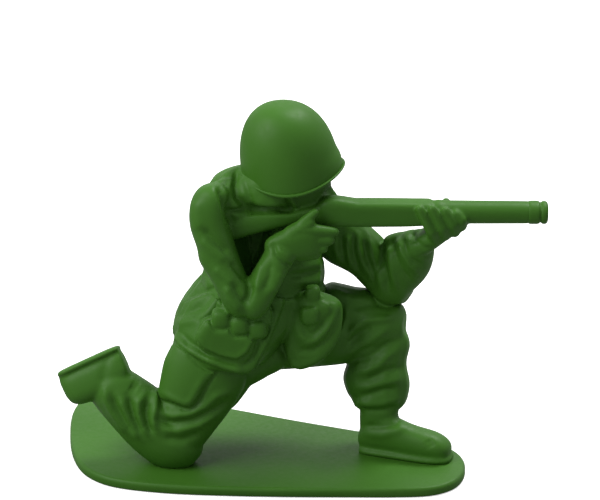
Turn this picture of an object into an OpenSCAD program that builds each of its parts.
// Kneeling toy soldier that aims a rifle, moulded in green plastic, on a flat base plate.
// +X is the way the figure aims, +Y its left side, +Z up.
// The origin is on the underside of the base plate, under the middle of the figure.

/* [Base plate] */
// Length of the base plate along the aim
base_length = 41.6; // [36:0.1:60]
// Reach of the base plate on the right side of the figure
base_right = 11.7; // [9:0.1:20]
// Reach of the base plate on the left side of the figure
base_left = 13; // [9:0.1:20]
// Thickness of the base plate
base_thickness = 1.05; // [0.8:0.05:2]
// Rounding of the top edge of the base plate
base_edge = 0.4; // [0.2:0.05:0.6]

/* [Legs] */
// Height of the hips over the base plate
hip_height = 12; // [10:0.1:15]
// How far the hips lie behind the origin
hip_back = 2.4; // [0:0.1:5]
// How far each hip lies inside the side of the jacket
hip_inset = 2.4; // [1.5:0.1:3.2]
// Thickness of a trouser leg at the thigh, seen from the side
thigh_thickness = 8.2; // [6:0.1:10]
// Width of a trouser leg at the thigh, seen from the front
thigh_width = 6.2; // [5:0.1:8]
// Thickness of a trouser leg at the shin
shin_thickness = 6.2; // [5:0.1:8]
// Width of a trouser leg at the shin
shin_width = 5.2; // [4:0.1:7]
// How far the right knee lies behind the hips
right_knee_back = 6.2; // [4:0.1:9]
// How far the right knee lies to the right of the middle
right_knee_out = 4.5; // [3:0.1:7]
// Distance from the right knee back to the right ankle
right_ankle_back = 6.6; // [5:0.1:12]
// Rise from the right knee to the right ankle
right_ankle_rise = 4.7; // [2:0.1:7]
// How far the left knee lies ahead of the hips
left_knee_reach = 14; // [11:0.1:17]
// How far the left knee lies to the left of the middle
left_knee_out = 0.7; // [-2:0.1:4]
// Height of the left knee over the base plate
left_knee_height = 13.3; // [11:0.1:16]
// How far the left ankle lies behind the left knee
left_ankle_back = 0.2; // [-2:0.1:3]
// How far the left ankle lies to the right of the left knee
left_ankle_in = 1.9; // [0:0.1:4]

/* [Boots] */
// Length of the sole of a boot
boot_length = 9.6; // [7:0.1:12]
// Width of the sole of a boot
boot_width = 3.7; // [3:0.1:5]
// Width of the boot shaft
shaft_width = 4.3; // [3.4:0.1:5]
// Height of the boot shaft over the base plate
shaft_height = 6.6; // [5:0.1:8]
// Thickness of a sole with its heel
sole_thickness = 1.05; // [0.7:0.05:1.6]
// Turn of the left foot to the right
left_foot_turn = 19; // [-10:1:30]
// Length of the raised right foot
right_foot_length = 6.8; // [6:0.1:9]
// Thickness of the raised right foot from its sole to its instep
right_foot_thickness = 5.2; // [4:0.1:6]

/* [Jacket] */
// Height from the hips to the collar
trunk_height = 17.8; // [15:0.1:21]
// How far the collar lies ahead of the hips
trunk_lean = 2.9; // [0:0.1:6]
// Thickness of the jacket from chest to back
jacket_thickness = 11.6; // [9:0.1:14]
// Width of the jacket across the chest
jacket_width = 10.4; // [8:0.1:13]
// Length of the jacket skirt below the belt
skirt_length = 6.9; // [5:0.1:9]
// Width of the waist belt
belt_width = 1.5; // [1:0.1:2.5]
// Thickness of the waist belt
belt_thickness = 0.35; // [0.2:0.05:0.8]
// Thickness of a sewn pocket
pocket_thickness = 0.5; // [0.3:0.05:1]
// Length of a cartridge pouch
pouch_length = 2.3; // [1.5:0.1:3]
// Height of a cartridge pouch
pouch_height = 1.9; // [1.2:0.1:3]
// Thickness of a cartridge pouch
pouch_thickness = 1.5; // [0.8:0.1:2]

/* [Arms] */
// Thickness of an upper sleeve
upper_sleeve_thickness = 4.3; // [3.4:0.1:5.5]
// Thickness of a lower sleeve
lower_sleeve_thickness = 3.9; // [3:0.1:5]
// How far the right shoulder lies behind the collar
right_shoulder_back = 6.7; // [4:0.1:8]
// How far the right shoulder lies to the right of the middle
right_shoulder_out = 4.4; // [3:0.1:6]
// How far the left shoulder lies ahead of the collar
left_shoulder_reach = 3.5; // [2:0.1:7]
// How far the left shoulder lies to the left of the middle
left_shoulder_out = 3.8; // [3:0.1:6]
// Drop from the right shoulder to the right elbow
right_elbow_drop = 9.8; // [8:0.1:12]
// How far the right elbow lies ahead of the right shoulder
right_elbow_reach = 3.4; // [1:0.1:5]
// How far the right elbow lies to the right of the right shoulder
right_elbow_out = 2.3; // [1:0.1:4]
// Length of a hand over the palm
palm_length = 3.2; // [2.6:0.1:4]
// Thickness of a finger
finger_thickness = 1; // [0.7:0.05:1.4]

/* [Head and helmet] */
// Height of the head from chin to crown
head_height = 7.6; // [6.5:0.1:9]
// Depth of the head from face to back
head_depth = 6.8; // [5.5:0.1:8]
// Width of the head
head_width = 5.6; // [4.8:0.1:7]
// Length of the helmet bowl
helmet_length = 9.9; // [9:0.1:12]
// Width of the helmet bowl
helmet_width = 9.5; // [8.4:0.1:11]
// Height of the helmet bowl
helmet_height = 8.35; // [7.5:0.1:10]
// How far the brim stands out in front of the bowl
brim_reach = 0.6; // [0.4:0.1:1.6]
// Thickness of the rolled helmet rim
rim_thickness = 0.42; // [0.25:0.01:0.6]
// Backward tilt of the helmet
helmet_tilt = 6; // [0:1:12]

/* [Rifle] */
// Length of the rifle from butt to muzzle
rifle_length = 34; // [28:0.1:40]
// How far the butt lies behind the collar
butt_back = 4.8; // [3:0.1:6.5]
// How far the butt axis lies under the collar
butt_drop = 1.55; // [0.5:0.05:3]
// How far the butt axis lies to the right of the middle
butt_out = 3.3; // [2:0.1:4.5]
// Drop of the rifle axis from butt to muzzle
muzzle_drop = 0.9; // [0:0.1:2]
// How far the muzzle swings to the left of the butt
muzzle_swing = 1.7; // [0:0.1:3]
// Height of the butt plate
butt_plate_height = 3.4; // [2.6:0.1:4.5]
// Thickness of the butt stock
stock_thickness = 1.9; // [1.4:0.1:2.6]
// Height of the fore-end
fore_end_height = 2.85; // [2.2:0.05:3.6]
// Thickness of the fore-end
fore_end_thickness = 2.3; // [1.8:0.05:3]
// Diameter of the barrel
barrel_diameter = 2.3; // [1.6:0.05:3]
// Length of the barrel that stands out of the fore-end
barrel_length = 10.2; // [8:0.1:13]
// Length of the muzzle cap
muzzle_cap_length = 2.3; // [1.6:0.1:3]

/* [Hidden] */

// Sides of every ring of a loft, rings between two stations, and how square a ring is
ring_sides = 14;
ring_steps = 2;
ring_square_share = 0.88;
// Sides of a finger or a palm
finger_sides = 8;
// Sides and rows of a padded block, and how square it is
pad_sides = 12;
pad_rows = 6;
pad_square_share = 0.5;

// Joints of the skeleton
top = base_thickness;
hips = [-hip_back, 0, top + hip_height];
hip_spread = jacket_width - 2 * hip_inset;
right_hip = hips + [-0.15 * hip_spread, -0.5 * hip_spread, 0.15 * hip_spread];
left_hip = hips + [0.45 * hip_spread, 0.5 * hip_spread, 0];
right_knee = [-hip_back - right_knee_back, -right_knee_out, top + 0.56 * shin_thickness];
right_ankle = right_knee + [-right_ankle_back, 0.18 * right_ankle_back, right_ankle_rise];
left_knee = [left_knee_reach - hip_back, left_knee_out, top + left_knee_height];
left_ankle = [left_knee[0] - left_ankle_back, left_knee_out - left_ankle_in, top + sole_thickness];
collar_base = hips + [trunk_lean, 0, trunk_height];
right_shoulder = collar_base + [-right_shoulder_back, -right_shoulder_out, 0];
left_shoulder = collar_base + [left_shoulder_reach, left_shoulder_out, -0.75 * upper_sleeve_thickness];
right_elbow = right_shoulder + [right_elbow_reach, -right_elbow_out, -right_elbow_drop];
left_elbow = left_knee + [0.2 * shin_thickness, 0.2 * shin_width,
    0.42 * shin_thickness + 0.6 * lower_sleeve_thickness];
butt = collar_base + [-butt_back, -butt_out, -butt_drop];
muzzle = butt + [sqrt(rifle_length * rifle_length - muzzle_drop * muzzle_drop - muzzle_swing * muzzle_swing),
    muzzle_swing, -muzzle_drop];
function on_rifle(length) = butt + length / rifle_length * (muzzle - butt);

// Vectors
function unit(a) = a / norm(a);
function up_of(d) = unit(cross(d, [0, 1, 0]));
function mix(a, b, share) = a + share * (b - a);
function signed_power(a, e) = sign(a) * pow(abs(a), e);

// A smooth row between two rows of a table
function row(t, i) = t[max(0, min(len(t) - 1, i))];
function blended(a, b, c, d, f) =
    b + f * (c - a) / 2 + f * f * (a - 2.5 * b + 2 * c - d / 2) + f * f * f * (1.5 * (b - c) + (d - a) / 2);
function between(t, i, f) = blended(row(t, i - 1), row(t, i), row(t, i + 1), row(t, i + 2), f);
function fine(t, steps) = concat(
    [for (i = [0 : len(t) - 2]) for (j = [0 : steps - 1]) between(t, i, j / steps)],
    [t[len(t) - 1]]);

// Closed skin over a stack of rings of equal count
module skin_of(rings) {
    n = len(rings[0]);
    m = len(rings);
    polyhedron(
        points = [for (r = rings) for (p = r) p],
        faces = concat(
            [[for (i = [0 : n - 1]) i]],
            [for (k = [0 : m - 2]) for (i = [0 : n - 1])
                [k * n + i, k * n + n + i, k * n + n + (i + 1) % n]],
            [for (k = [0 : m - 2]) for (i = [0 : n - 1])
                [k * n + i, k * n + n + (i + 1) % n, k * n + (i + 1) % n]],
            [[for (i = [0 : n - 1]) (m - 1) * n + n - 1 - i]]),
        convexity = 6);
}

// A limb from joint a to joint b, with a row of shares for each station:
// along the limb, above, below, to the right and to the left of its axis.
// Above and below are shares of the thickness, right and left of the width.
function limb_rings(a, b, rows, thickness, width, sides, steps) =
    let (d = unit(b - a), u = up_of(d), v = cross(d, u))
    [for (s = fine(rows, steps)) [for (i = [0 : sides - 1])
        let (q = 360 * i / sides,
            cu = signed_power(cos(q), ring_square_share),
            cv = signed_power(sin(q), ring_square_share))
        a + s[0] * (b - a)
            + thickness * ((s[1] - s[2]) / 2 + cu * (s[1] + s[2]) / 2) * u
            + width * ((s[3] - s[4]) / 2 + cv * (s[3] + s[4]) / 2) * v]];
module limb(a, b, rows, thickness, width, sides = ring_sides, steps = ring_steps) {
    skin_of(limb_rings(a, b, rows, thickness, width, sides, steps));
}

// A padded block with half sizes su, sv, sw along the directions u, v and their normal
module pad(centre, u, v, su, sv, sw) {
    w = cross(u, v);
    skin_of([for (k = [0 : pad_rows - 1])
        let (h = -90 + 180 * (k + 0.5) / pad_rows,
            z = signed_power(sin(h), pad_square_share),
            r = pow(cos(h), pad_square_share))
        [for (i = [0 : pad_sides - 1])
            let (q = 360 * i / pad_sides)
            centre + su * r * signed_power(cos(q), pad_square_share) * u
                + sv * r * signed_power(sin(q), pad_square_share) * v + sw * z * w]]);
}

// A cut form kept as one closed skin of flat facets
module one_skin() {
    resize([0, 0, 0]) children();
}
plastic = "forestgreen";

// Base plate
base_outline_shares = [
    [1, -0.46], [0.985, -0.29], [0.94, -0.14], [0.86, -0.03], [0.7, 0.085], [0.457, 0.24], [0.16, 0.44],
    [-0.14, 0.646], [-0.4, 0.825], [-0.6, 0.945], [-0.77, 1], [-0.905, 0.915], [-0.975, 0.66],
    [-0.998, 0.3], [-0.985, -0.1], [-0.945, -0.43], [-0.87, -0.66], [-0.745, -0.812], [-0.5, -0.92],
    [-0.2, -0.972], [0.1, -0.995], [0.4, -1], [0.64, -1], [0.82, -0.97], [0.93, -0.85], [0.985, -0.67]
];
function base_outline(inset) =
    let (t = base_outline_shares, n = len(t))
    [for (i = [0 : n - 1]) for (j = [0 : ring_steps - 1])
        let (p = blended(t[(i + n - 1) % n], t[i], t[(i + 1) % n], t[(i + 2) % n], j / ring_steps),
            q = [p[0] * base_length / 2, p[1] * (p[1] < 0 ? base_right : base_left)])
        q - inset * unit(q)];
function flat_ring(points, z) = [for (p = points) [p[0], p[1], z]];
module base_form() {
    skin_of(concat(
        [flat_ring(base_outline(0.4 * base_edge), 0), flat_ring(base_outline(0), 0.4 * base_edge)],
        [for (q = [0 : 45 : 90])
            flat_ring(base_outline(base_edge * (1 - cos(q))), top - base_edge * (1 - sin(q)))]));
}

// Trouser legs
right_thigh_shares = [
    [-0.32, 0.2, 0.196, 0.3, 0.3], [-0.25, 0.42, 0.42, 0.46, 0.42], [0, 0.5, 0.5, 0.54, 0.5],
    [0.35, 0.41, 0.62, 0.537, 0.5], [0.7, 0.33, 0.6, 0.5, 0.48], [0.95, 0.32, 0.5, 0.48, 0.46],
    [1.2, 0.24, 0.38, 0.4, 0.375], [1.32, 0.1, 0.2, 0.208, 0.2]
];
module right_thigh_form() {
    limb(right_hip, right_knee, right_thigh_shares, thigh_thickness, thigh_width);
}
left_thigh_shares = [
    [-0.2, 0.2, 0.2, 0.3, 0.3], [-0.13, 0.42, 0.42, 0.46, 0.46], [0.1, 0.48, 0.46, 0.54, 0.5],
    [0.4, 0.48, 0.42, 0.54, 0.5], [0.7, 0.44, 0.4, 0.5, 0.46], [1, 0.38, 0.4, 0.46, 0.44],
    [1.14, 0.26, 0.32, 0.36, 0.36], [1.22, 0.1, 0.14, 0.2, 0.2]
];
module left_thigh_form() {
    limb(left_hip, left_knee, left_thigh_shares, thigh_thickness, thigh_width);
}
right_shin_shares = [
    [-0.1, 0.3, 0.3, 0.4, 0.4], [0.1, 0.5, 0.4, 0.52, 0.52], [0.4, 0.6, 0.34, 0.54, 0.54],
    [0.7, 0.56, 0.33, 0.52, 0.5], [0.95, 0.47, 0.36, 0.46, 0.44], [1.08, 0.38, 0.32, 0.4, 0.36]
];
module right_shin_form() {
    limb(right_knee, right_ankle, right_shin_shares, shin_thickness, shin_width);
}
left_shin_shares = [
    [-0.04, 0.24, 0.24, 0.3, 0.3], [0.08, 0.468, 0.44, 0.46, 0.468], [0.3, 0.482, 0.495, 0.52, 0.515],
    [0.52, 0.51, 0.5, 0.52, 0.52], [0.66, 0.5, 0.47, 0.49, 0.485], [0.712, 0.43, 0.4, 0.423, 0.43]
];
module left_shin_form() {
    limb(left_knee, left_ankle, left_shin_shares, shin_thickness, shin_width);
}
// The cargo pocket lies on the outer and rear side of the right thigh, along it
thigh_way = unit(right_knee - right_hip);
pocket_out_way = unit(cross(thigh_way, up_of(thigh_way)) - 1.8 * up_of(thigh_way));
module right_cargo_pocket_form() {
    pad(right_hip + 0.64 * thigh_thickness * thigh_way + 0.7 * thigh_width * pocket_out_way,
        thigh_way, cross(pocket_out_way, thigh_way),
        0.38 * thigh_thickness, 0.28 * thigh_thickness, 1.9 * pocket_thickness);
}

// Boots
function turned(d, angle) =
    [d[0] * cos(angle) + d[1] * sin(angle), d[1] * cos(angle) - d[0] * sin(angle), d[2]];
left_foot_way = turned([1, 0, 0], left_foot_turn);
left_heel = left_ankle - 0.15 * boot_length * left_foot_way;
left_toe = left_ankle + 0.85 * boot_length * left_foot_way;
left_boot_shares = [
    [0.02, 0.24, 0, 0.3, 0.3], [0.06, 0.36, 0, 0.42, 0.42], [0.2, 0.56, 0, 0.5, 0.5],
    [0.38, 0.48, 0, 0.5, 0.5], [0.56, 0.38, 0, 0.5, 0.5], [0.78, 0.35, 0, 0.5, 0.5],
    [0.92, 0.26, 0, 0.42, 0.42], [0.98, 0.14, 0, 0.26, 0.26]
];
shaft_shares = [
    [0, 0.35, 0.36, 0.31, 0.33], [0.3, 0.41, 0.42, 0.37, 0.38], [0.6, 0.48, 0.48, 0.43, 0.43],
    [0.8, 0.5, 0.5, 0.44, 0.44], [1, 0.5, 0.5, 0.44, 0.44]
];
module left_boot_form() {
    limb(left_heel, left_toe, left_boot_shares, shaft_height, boot_width);
    limb(left_ankle + shaft_height * unit(left_knee - left_ankle), left_ankle, shaft_shares,
        shaft_width, shaft_width);
}
sole_shares = [
    [-0.01, 0, 0.7, 0.26, 0.26], [0.02, 0, 0.98, 0.4, 0.4], [0.1, 0, 1, 0.49, 0.49],
    [0.28, 0, 1, 0.48, 0.48], [0.45, 0, 1, 0.46, 0.46], [0.7, 0, 1, 0.53, 0.53],
    [0.88, 0, 1, 0.48, 0.48], [0.98, 0, 0.98, 0.3, 0.3], [1.01, 0, 0.7, 0.14, 0.14]
];
sole_overhang_share = 1.08;
module left_boot_sole_form() {
    limb(left_heel, left_toe, sole_shares, sole_thickness, sole_overhang_share * boot_width);
}
// The raised right foot lies across the end of the shin, with its sole facing back and up
right_foot_way_shares = [-0.93, 0, -0.375];
right_foot_way = unit(right_foot_way_shares);
right_sole_way = -up_of(right_foot_way);
right_heel = right_ankle + 0.61 * right_foot_thickness * right_sole_way
    - 0.13 * right_foot_length * right_foot_way;
right_toe = right_heel + right_foot_length * right_foot_way;
right_boot_shares = [
    [0, 0.5, 0, 0.3, 0.3], [0.05, 0.7, 0, 0.44, 0.44], [0.3, 0.95, 0, 0.5, 0.5],
    [0.55, 0.98, 0, 0.5, 0.5], [0.8, 0.76, 0, 0.5, 0.5], [0.95, 0.5, 0, 0.44, 0.44],
    [1, 0.34, 0, 0.3, 0.3]
];
module right_boot_form() {
    limb(right_heel, right_toe, right_boot_shares, right_foot_thickness, boot_width);
}
module right_boot_sole_form() {
    limb(right_heel, right_toe, sole_shares, sole_thickness, sole_overhang_share * boot_width);
}

// Jacket, from the collar down to the seat
jacket_shares = [
    [-0.07, 0.2, 0.28, 0.2, 0.2], [-0.04, 0.28, 0.4, 0.28, 0.32], [0.05, 0.36, 0.55, 0.32, 0.48],
    [0.16, 0.46, 0.58, 0.34, 0.54], [0.35, 0.53, 0.54, 0.36, 0.52], [0.54, 0.58, 0.48, 0.42, 0.46],
    [0.66, 0.6, 0.46, 0.46, 0.46]
];
module jacket_body_form() {
    limb(collar_base, hips, jacket_shares, jacket_thickness, jacket_width);
}
belt_share = 0.64;
belt_middle = mix(collar_base, hips, belt_share);
belt_half_share = belt_width / trunk_height / 2;
belt_shares = [for (side = [-1, -0.6, 0.6, 1])
    let (e = (abs(side) < 1 ? 1 : 0.4) * belt_thickness / jacket_thickness)
    [belt_share + side * belt_half_share, 0.595 + e, 0.46 + e, 0.46 + e, 0.46 + e]];
module waist_belt_form() {
    limb(collar_base, hips, belt_shares, jacket_thickness, jacket_width);
}
skirt_top = belt_middle + [0.04 * jacket_thickness, 0, -0.3 * belt_width];
skirt_way_shares = [-0.1, 0, -1];
skirt_end = skirt_top + skirt_length * unit(skirt_way_shares);
skirt_shares = [
    [0, 0.54, 0.54, 0.48, 0.48], [0.1, 0.52, 0.58, 0.53, 0.51], [0.4, 0.4, 0.68, 0.63, 0.55],
    [0.75, 0.24, 0.73, 0.69, 0.57], [0.94, 0.16, 0.71, 0.69, 0.57], [1, 0.12, 0.68, 0.66, 0.54]
];
module jacket_skirt_form() {
    limb(skirt_top, skirt_end, skirt_shares, jacket_thickness, jacket_width);
}
flap_top = belt_middle + [0.48 * jacket_thickness, -0.2 * jacket_width, 0];
flap_end = flap_top + [0.03 * jacket_thickness, -0.08 * jacket_width, -1.2 * skirt_length];
flap_shares = [
    [0, 0.2, 0.24, 0.2, 0.2], [0.06, 0.26, 0.27, 0.24, 0.2], [0.3, 0.33, 0.27, 0.28, 0.2],
    [0.6, 0.28, 0.26, 0.28, 0.2], [0.85, 0.18, 0.24, 0.26, 0.2], [0.97, 0.08, 0.2, 0.22, 0.16],
    [1, 0, 0.16, 0.14, 0.1]
];
module front_skirt_flap_form() {
    limb(flap_top, flap_end, flap_shares, jacket_thickness, jacket_width);
}
skirt_down_way = unit(skirt_end - skirt_top);
skirt_front_way = up_of(skirt_down_way);
skirt_right_way = cross(skirt_down_way, skirt_front_way);
pocket_way = unit(skirt_front_way + 0.28 * skirt_down_way);
module skirt_pocket_form() {
    pad(mix(skirt_top, skirt_end, 0.52) - 0.27 * jacket_thickness * skirt_front_way
            + 0.65 * jacket_width * skirt_right_way,
        pocket_way, cross(skirt_right_way, pocket_way),
        0.26 * jacket_thickness, 0.27 * skirt_length, pocket_thickness);
}
// Cartridge pouches hang on the belt, which slopes down to the front on this side
module pouch(centre, turn) {
    pad(centre, turned([1, 0, 0], turn), [0, 0, 1], pouch_length / 2, pouch_height / 2, pouch_thickness / 2);
}
side_pouch_pitch = 0.82 * pouch_length;
side_pouch_step = 0.4 * pouch_height;
module side_pouches_form() {
    for (i = [0 : 2])
        pouch(belt_middle + [i * side_pouch_pitch - 1.6 * pouch_length, -0.6 * jacket_width,
            -i * side_pouch_step - 0.32 * pouch_height], 0);
}
front_pouch_turns = [-25, -50, -35];
front_pouch_shares = [[0.492, -0.43, -0.9], [0.617, -0.34, -0.6], [0.51, -0.38, 0.3]];
module front_pouches_form() {
    for (i = [0 : 2])
        let (s = front_pouch_shares[i])
            pouch(belt_middle + [s[0] * jacket_thickness, s[1] * jacket_width, s[2] * pouch_height],
                front_pouch_turns[i]);
}
collar_shares = [
    [0, 0.295, 0.34, 0.3, 0.3], [0.2, 0.34, 0.388, 0.36, 0.34], [0.7, 0.38, 0.415, 0.38, 0.372],
    [1, 0.353, 0.4, 0.373, 0.37]
];
module collar_form() {
    limb(collar_base + [0.04, 0, 0.14] * jacket_thickness, collar_base - [0, 0, 0.1] * jacket_thickness,
        collar_shares, jacket_thickness, jacket_width);
}

// Sleeves
right_wrist = on_rifle(0.172 * rifle_length) + [0, -0.55, -1.02] * lower_sleeve_thickness;
left_wrist = on_rifle(0.595 * rifle_length) + [0, 0.48, -1.1] * lower_sleeve_thickness;
right_upper_sleeve_shares = [
    [-0.2, 0.24, 0.1, 0.2, 0.2], [-0.14, 0.5, 0.34, 0.4, 0.4], [0, 0.56, 0.5, 0.5, 0.5],
    [0.3, 0.36, 0.62, 0.48, 0.48], [0.6, 0.32, 0.6, 0.46, 0.46], [0.85, 0.42, 0.54, 0.48, 0.48],
    [1.05, 0.52, 0.54, 0.5, 0.5], [1.18, 0.38, 0.42, 0.38, 0.38], [1.25, 0.15, 0.2, 0.2, 0.2]
];
module right_upper_sleeve_form() {
    limb(right_shoulder, right_elbow, right_upper_sleeve_shares,
        upper_sleeve_thickness, upper_sleeve_thickness);
}
lower_sleeve_shares = [
    [-0.1, 0.3, 0.3, 0.3, 0.3], [0.1, 0.5, 0.52, 0.5, 0.48], [0.45, 0.46, 0.48, 0.46, 0.44],
    [0.8, 0.46, 0.46, 0.44, 0.44], [0.95, 0.5, 0.5, 0.46, 0.46], [1, 0.44, 0.44, 0.4, 0.4]
];
module right_lower_sleeve_form() {
    limb(right_elbow, right_wrist, lower_sleeve_shares, lower_sleeve_thickness, lower_sleeve_thickness);
}
left_upper_sleeve_shares = [
    [-0.16, 0.2, 0.2, 0.2, 0.2], [-0.1, 0.42, 0.42, 0.42, 0.42], [0.05, 0.52, 0.52, 0.5, 0.5],
    [0.35, 0.58, 0.78, 0.54, 0.54], [0.7, 0.62, 0.72, 0.54, 0.54], [1, 0.54, 0.56, 0.5, 0.5],
    [1.16, 0.38, 0.38, 0.36, 0.36], [1.22, 0.18, 0.18, 0.2, 0.2]
];
module left_upper_sleeve_form() {
    limb(left_shoulder, left_elbow, left_upper_sleeve_shares, upper_sleeve_thickness, upper_sleeve_thickness);
}
left_lower_sleeve_shares = [
    [-0.1, 0.3, 0.3, 0.3, 0.3], [0.1, 0.58, 0.6, 0.54, 0.54], [0.4, 0.62, 0.6, 0.54, 0.54],
    [0.75, 0.56, 0.52, 0.5, 0.5], [0.95, 0.44, 0.4, 0.42, 0.42], [1, 0.36, 0.34, 0.36, 0.36]
];
module left_lower_sleeve_form() {
    limb(left_elbow, left_wrist, left_lower_sleeve_shares, lower_sleeve_thickness, lower_sleeve_thickness);
}

// Hands
finger_shares = [
    [-0.16, 0.2, 0.2, 0.2, 0.2], [0, 0.46, 0.46, 0.46, 0.46], [0.5, 0.5, 0.5, 0.5, 0.5],
    [1, 0.42, 0.42, 0.42, 0.42], [1.12, 0.2, 0.2, 0.2, 0.2]
];
module finger(a, b) {
    limb(a, b, finger_shares, finger_thickness, finger_thickness, finger_sides, 1);
}
palm_shares = [
    [-0.3, 0.3, 0.3, 0.3, 0.3], [0, 0.36, 0.36, 0.347, 0.34], [0.4, 0.46, 0.44, 0.393, 0.408],
    [0.8, 0.46, 0.44, 0.42, 0.42], [1.058, 0.3, 0.3, 0.3, 0.3]
];
right_palm_way_shares = [0.85, 0.25, 0.5];
right_palm = right_wrist + palm_length * unit(right_palm_way_shares);
module right_hand_form() {
    limb(right_wrist, right_palm, palm_shares, palm_length, palm_length, finger_sides, 1);
    finger(right_palm + [-0.45, -0.2, 0.1] * palm_length, right_palm + [0.1, -0.1, 0.85] * palm_length);
    for (i = [0 : 2])
        finger(right_palm + [-0.3, -0.15, 0.3 - 0.28 * i] * palm_length,
            right_palm + [0.75 - 0.12 * i, 0, 0.18 - 0.27 * i] * palm_length);
}
left_grip = 0.643 * rifle_length;
under_fore_end = [0, 0, -0.62 * fore_end_height];
left_palm = on_rifle(left_grip) + under_fore_end;
module left_hand_form() {
    limb(left_wrist, left_palm, palm_shares, 0.9 * palm_length, palm_length, finger_sides, 1);
    limb(left_palm - [0.45, 0, 0.14] * palm_length, left_palm + [0.9, -0.05, 0.06] * palm_length,
        palm_shares, 0.613 * palm_length, 0.98 * palm_length, finger_sides, 1);
    for (i = [0 : 3])
        let (place = left_grip + 0.92 * (i - 2) * finger_thickness)
            finger(on_rifle(place + 0.4 * finger_thickness)
                    + [0, -0.414 * fore_end_thickness, -0.8 * fore_end_height],
                on_rifle(place - 0.412 * finger_thickness)
                    + [0, -0.5 * fore_end_thickness - 0.289 * finger_thickness, 0.35 * fore_end_height]);
    finger(on_rifle(left_grip - 1.607 * finger_thickness) + [0, 0.4 * fore_end_thickness, -0.7 * fore_end_height],
        on_rifle(left_grip + 0.6 * finger_thickness)
            + [0, 0.5 * fore_end_thickness + 0.3 * finger_thickness, 0.192 * fore_end_height]);
}

// Head and helmet
helmet_way = [-sin(helmet_tilt), 0, cos(helmet_tilt)];
rim_middle = collar_base + [0.175, -0.02, 0.11] * helmet_length;
crown = rim_middle + helmet_height * helmet_way;
helmet_shares = [
    [0, 0.5, 0.5, 0.49, 0.49], [0.12, 0.5, 0.5, 0.5, 0.5], [0.35, 0.495, 0.495, 0.49, 0.49],
    [0.55, 0.47, 0.47, 0.47, 0.47], [0.73, 0.405, 0.405, 0.405, 0.405], [0.87, 0.305, 0.305, 0.3, 0.3],
    [0.96, 0.19, 0.19, 0.19, 0.19], [1, 0.06, 0.06, 0.06, 0.06]
];
module helmet_form() {
    limb(rim_middle, crown, helmet_shares, helmet_length, helmet_width);
}
rim_share = rim_thickness / helmet_length;
brim_share = brim_reach / helmet_length;
rim_shares = [
    [0, 0.48, 0.48 + 0.5 * brim_share, 0.47, 0.47],
    [0.4, 0.5 + rim_share, 0.5 + rim_share + brim_share, 0.49 + rim_share, 0.49 + rim_share],
    [0.8, 0.5 + 0.8 * rim_share, 0.5 + rim_share + 0.9 * brim_share,
        0.49 + 0.8 * rim_share, 0.49 + 0.8 * rim_share],
    [1, 0.5, 0.5, 0.49, 0.49]
];
module helmet_rim_form() {
    limb(rim_middle - rim_thickness * helmet_way, rim_middle + rim_thickness * helmet_way,
        rim_shares, helmet_length, helmet_width);
}
head_top = rim_middle + [0.118, -0.024, 0.28] * head_height;
face_way_shares = [0.1, -0.02, -1];
chin = head_top + head_height * unit(face_way_shares);
head_shares = [
    [0, 0.3, 0.3, 0.3, 0.3], [0.15, 0.44, 0.46, 0.44, 0.44], [0.4, 0.49, 0.5, 0.49, 0.49],
    [0.55, 0.46, 0.49, 0.5, 0.5], [0.72, 0.47, 0.44, 0.46, 0.46], [0.88, 0.46, 0.36, 0.38, 0.38],
    [0.97, 0.42, 0.3, 0.28, 0.28], [1, 0.34, 0.26, 0.2, 0.2]
];
nose_shares = [
    [0, 0.3, 0.3, 0.3, 0.3], [0.4, 0.4, 0.4, 0.4, 0.4], [0.85, 0.6, 0.5, 0.5, 0.5], [1, 0.35, 0.4, 0.4, 0.4]
];
neck_shares = [[0, 0.5, 0.5, 0.5, 0.5], [1, 0.56, 0.56, 0.56, 0.56]];
module head_form() {
    limb(head_top, chin, head_shares, head_depth, head_width);
    limb(mix(head_top, chin, 0.48) + [0.45 * head_depth, 0, 0],
        mix(head_top, chin, 0.7) + [0.5 * head_depth, 0, 0],
        nose_shares, 0.2 * head_depth, 0.2 * head_width);
    limb(mix(head_top, chin, 0.5) - [0.14 * head_depth, 0, 0], collar_base, neck_shares,
        0.62 * head_depth, 0.7 * head_width);
}

// Rifle, along its axis from the butt to the muzzle
stock_end = 0.3 * rifle_length;
fore_end_end = rifle_length - muzzle_cap_length - barrel_length;
receiver_end = mix(stock_end, fore_end_end, 0.3);
cap_start = rifle_length - muzzle_cap_length;
stock_shares = [
    [0, -0.14, 0.9, 0.34, 0.34], [0.03, -0.12, 0.98, 0.46, 0.46], [0.2, -0.06, 0.76, 0.5, 0.5],
    [0.45, 0.02, 0.54, 0.5, 0.5], [0.7, 0.1, 0.4, 0.46, 0.46], [1, 0.3, 0.4, 0.44, 0.44]
];
module rifle_stock_form() {
    limb(butt, on_rifle(stock_end), stock_shares, butt_plate_height, stock_thickness);
}
receiver_shares = [
    [0, 0.45, 0.52, 0.44, 0.44], [0.12, 0.6, 0.56, 0.5, 0.5], [0.35, 0.6, 0.58, 0.5, 0.5],
    [0.7, 0.5, 0.54, 0.5, 0.5], [1, 0.46, 0.52, 0.5, 0.5]
];
module rifle_receiver_form() {
    limb(on_rifle(stock_end), on_rifle(receiver_end), receiver_shares, fore_end_height, fore_end_thickness);
}
fore_end_shares = [
    [0, 0.46, 0.52, 0.5, 0.5], [0.5, 0.46, 0.52, 0.5, 0.5], [0.94, 0.45, 0.48, 0.52, 0.52],
    [1, 0.42, 0.44, 0.51, 0.51]
];
module rifle_fore_end_form() {
    limb(on_rifle(receiver_end), on_rifle(fore_end_end), fore_end_shares, fore_end_height, fore_end_thickness);
}
barrel_shares = [[0, 0.5, 0.5, 0.5, 0.5], [1, 0.5, 0.5, 0.5, 0.5]];
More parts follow.
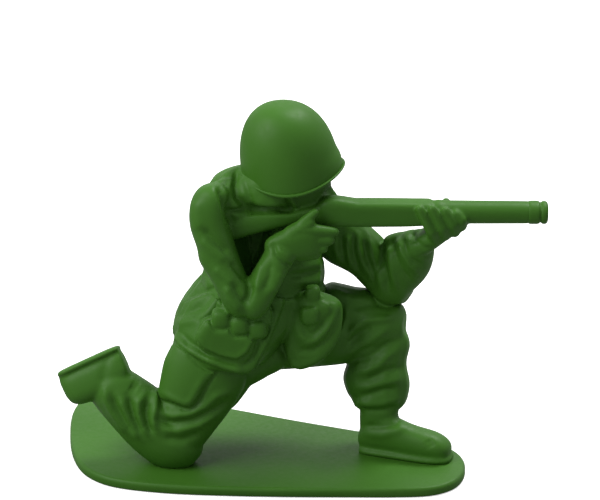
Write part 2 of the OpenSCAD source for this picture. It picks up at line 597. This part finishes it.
band_shares = [
    [0, 0.46, 0.46, 0.46, 0.46], [0.2, 0.54, 0.54, 0.54, 0.54], [0.8, 0.54, 0.54, 0.54, 0.54],
    [1, 0.46, 0.46, 0.46, 0.46]
];
function on_barrel(share) = on_rifle(mix(fore_end_end, cap_start, share));
module rifle_barrel_form() {
    limb(on_barrel(0), on_barrel(1), barrel_shares, barrel_diameter, barrel_diameter);
    for (share = [0.05, 0.48])
        limb(on_barrel(share), on_barrel(share + 0.05), band_shares, barrel_diameter, barrel_diameter);
}
cap_shares = [
    [0, 0.52, 0.52, 0.52, 0.52], [0.45, 0.54, 0.54, 0.54, 0.54], [0.5, 0.46, 0.46, 0.46, 0.46],
    [0.62, 0.46, 0.46, 0.46, 0.46], [0.68, 0.54, 0.54, 0.54, 0.54], [0.95, 0.53, 0.53, 0.53, 0.53],
    [1, 0.44, 0.44, 0.44, 0.44]
];
module muzzle_cap_form() {
    limb(on_rifle(cap_start), muzzle, cap_shares, barrel_diameter, barrel_diameter);
}

// Every sub-part is its own form without the forms that lie over it, so neighbours meet face to face
module base_plate() {
    color(plastic) base_form();
}
module right_thigh() {
    color(plastic) one_skin() difference() {
        right_thigh_form();
        base_form();
        right_cargo_pocket_form();
        jacket_skirt_form();
        skirt_pocket_form();
        front_skirt_flap_form();
        left_thigh_form();
    }
}
module right_cargo_pocket() {
    color(plastic) one_skin() difference() {
        right_cargo_pocket_form();
        jacket_skirt_form();
        skirt_pocket_form();
    }
}
module right_shin() {
    color(plastic) one_skin() difference() {
        right_shin_form();
        base_form();
        right_thigh_form();
        right_boot_form();
        right_boot_sole_form();
    }
}
module right_boot() {
    color(plastic) right_boot_form();
}
module right_boot_sole() {
    color(plastic) right_boot_sole_form();
}
module left_thigh() {
    color(plastic) one_skin() difference() {
        left_thigh_form();
        jacket_skirt_form();
        front_skirt_flap_form();
        front_pouches_form();
    }
}
module left_shin() {
    color(plastic) one_skin() difference() {
        left_shin_form();
        left_thigh_form();
        left_boot_form();
    }
}
module left_boot() {
    color(plastic) one_skin() left_boot_form();
}
module left_boot_sole() {
    color(plastic) left_boot_sole_form();
}
module jacket_body() {
    color(plastic) one_skin() difference() {
        jacket_body_form();
        jacket_skirt_form();
        front_skirt_flap_form();
        waist_belt_form();
        side_pouches_form();
        front_pouches_form();
        collar_form();
        head_form();
        helmet_form();
        helmet_rim_form();
        right_upper_sleeve_form();
        right_lower_sleeve_form();
        right_hand_form();
        left_upper_sleeve_form();
        rifle_stock_form();
        rifle_receiver_form();
        left_thigh_form();
    }
}
module jacket_skirt() {
    color(plastic) one_skin() difference() {
        jacket_skirt_form();
        skirt_pocket_form();
        side_pouches_form();
        front_pouches_form();
        front_skirt_flap_form();
        waist_belt_form();
        right_upper_sleeve_form();
    }
}
module front_skirt_flap() {
    color(plastic) one_skin() difference() {
        front_skirt_flap_form();
        front_pouches_form();
        waist_belt_form();
    }
}
module skirt_pocket() {
    color(plastic) one_skin() difference() {
        skirt_pocket_form();
        side_pouches_form();
    }
}
module waist_belt() {
    color(plastic) one_skin() difference() {
        waist_belt_form();
        side_pouches_form();
        front_pouches_form();
        right_lower_sleeve_form();
        right_upper_sleeve_form();
    }
}
module side_pouches() {
    color(plastic) one_skin() side_pouches_form();
}
module front_pouches() {
    color(plastic) one_skin() front_pouches_form();
}
module collar() {
    color(plastic) one_skin() difference() {
        collar_form();
        head_form();
        helmet_form();
        helmet_rim_form();
        rifle_stock_form();
        right_upper_sleeve_form();
    }
}
module head() {
    color(plastic) one_skin() difference() {
        head_form();
        helmet_form();
        helmet_rim_form();
        rifle_stock_form();
        rifle_receiver_form();
        right_hand_form();
    }
}
module helmet() {
    color(plastic) one_skin() difference() {
        helmet_form();
        helmet_rim_form();
    }
}
module helmet_rim() {
    color(plastic) helmet_rim_form();
}
module right_upper_sleeve() {
    color(plastic) one_skin() difference() {
        right_upper_sleeve_form();
        side_pouches_form();
        rifle_stock_form();
        helmet_form();
        helmet_rim_form();
    }
}
module right_lower_sleeve() {
    color(plastic) one_skin() difference() {
        right_lower_sleeve_form();
        right_hand_form();
        right_upper_sleeve_form();
        side_pouches_form();
    }
}
module right_hand() {
    color(plastic) one_skin() difference() {
        right_hand_form();
        rifle_stock_form();
        rifle_receiver_form();
    }
}
module left_upper_sleeve() {
    color(plastic) one_skin() difference() {
        left_upper_sleeve_form();
        rifle_receiver_form();
        rifle_fore_end_form();
        rifle_stock_form();
        left_thigh_form();
        head_form();
        helmet_rim_form();
        right_hand_form();
    }
}
module left_lower_sleeve() {
    color(plastic) one_skin() difference() {
        left_lower_sleeve_form();
        left_hand_form();
        left_upper_sleeve_form();
        left_thigh_form();
    }
}
module left_hand() {
    color(plastic) one_skin() difference() {
        left_hand_form();
        rifle_fore_end_form();
        rifle_barrel_form();
    }
}
module rifle_stock() {
    color(plastic) rifle_stock_form();
}
module rifle_receiver() {
    color(plastic) rifle_receiver_form();
}
module rifle_fore_end() {
    color(plastic) rifle_fore_end_form();
}
module rifle_barrel() {
    color(plastic) one_skin() rifle_barrel_form();
}
module muzzle_cap() {
    color(plastic) muzzle_cap_form();
}

base_plate();
right_thigh();
right_cargo_pocket();
right_shin();
right_boot();
right_boot_sole();
left_thigh();
left_shin();
left_boot();
left_boot_sole();
jacket_body();
jacket_skirt();
front_skirt_flap();
skirt_pocket();
waist_belt();
side_pouches();
front_pouches();
collar();
head();
helmet();
helmet_rim();
right_upper_sleeve();
right_lower_sleeve();
right_hand();
left_upper_sleeve();
left_lower_sleeve();
left_hand();
rifle_stock();
rifle_receiver();
rifle_fore_end();
rifle_barrel();
muzzle_cap();
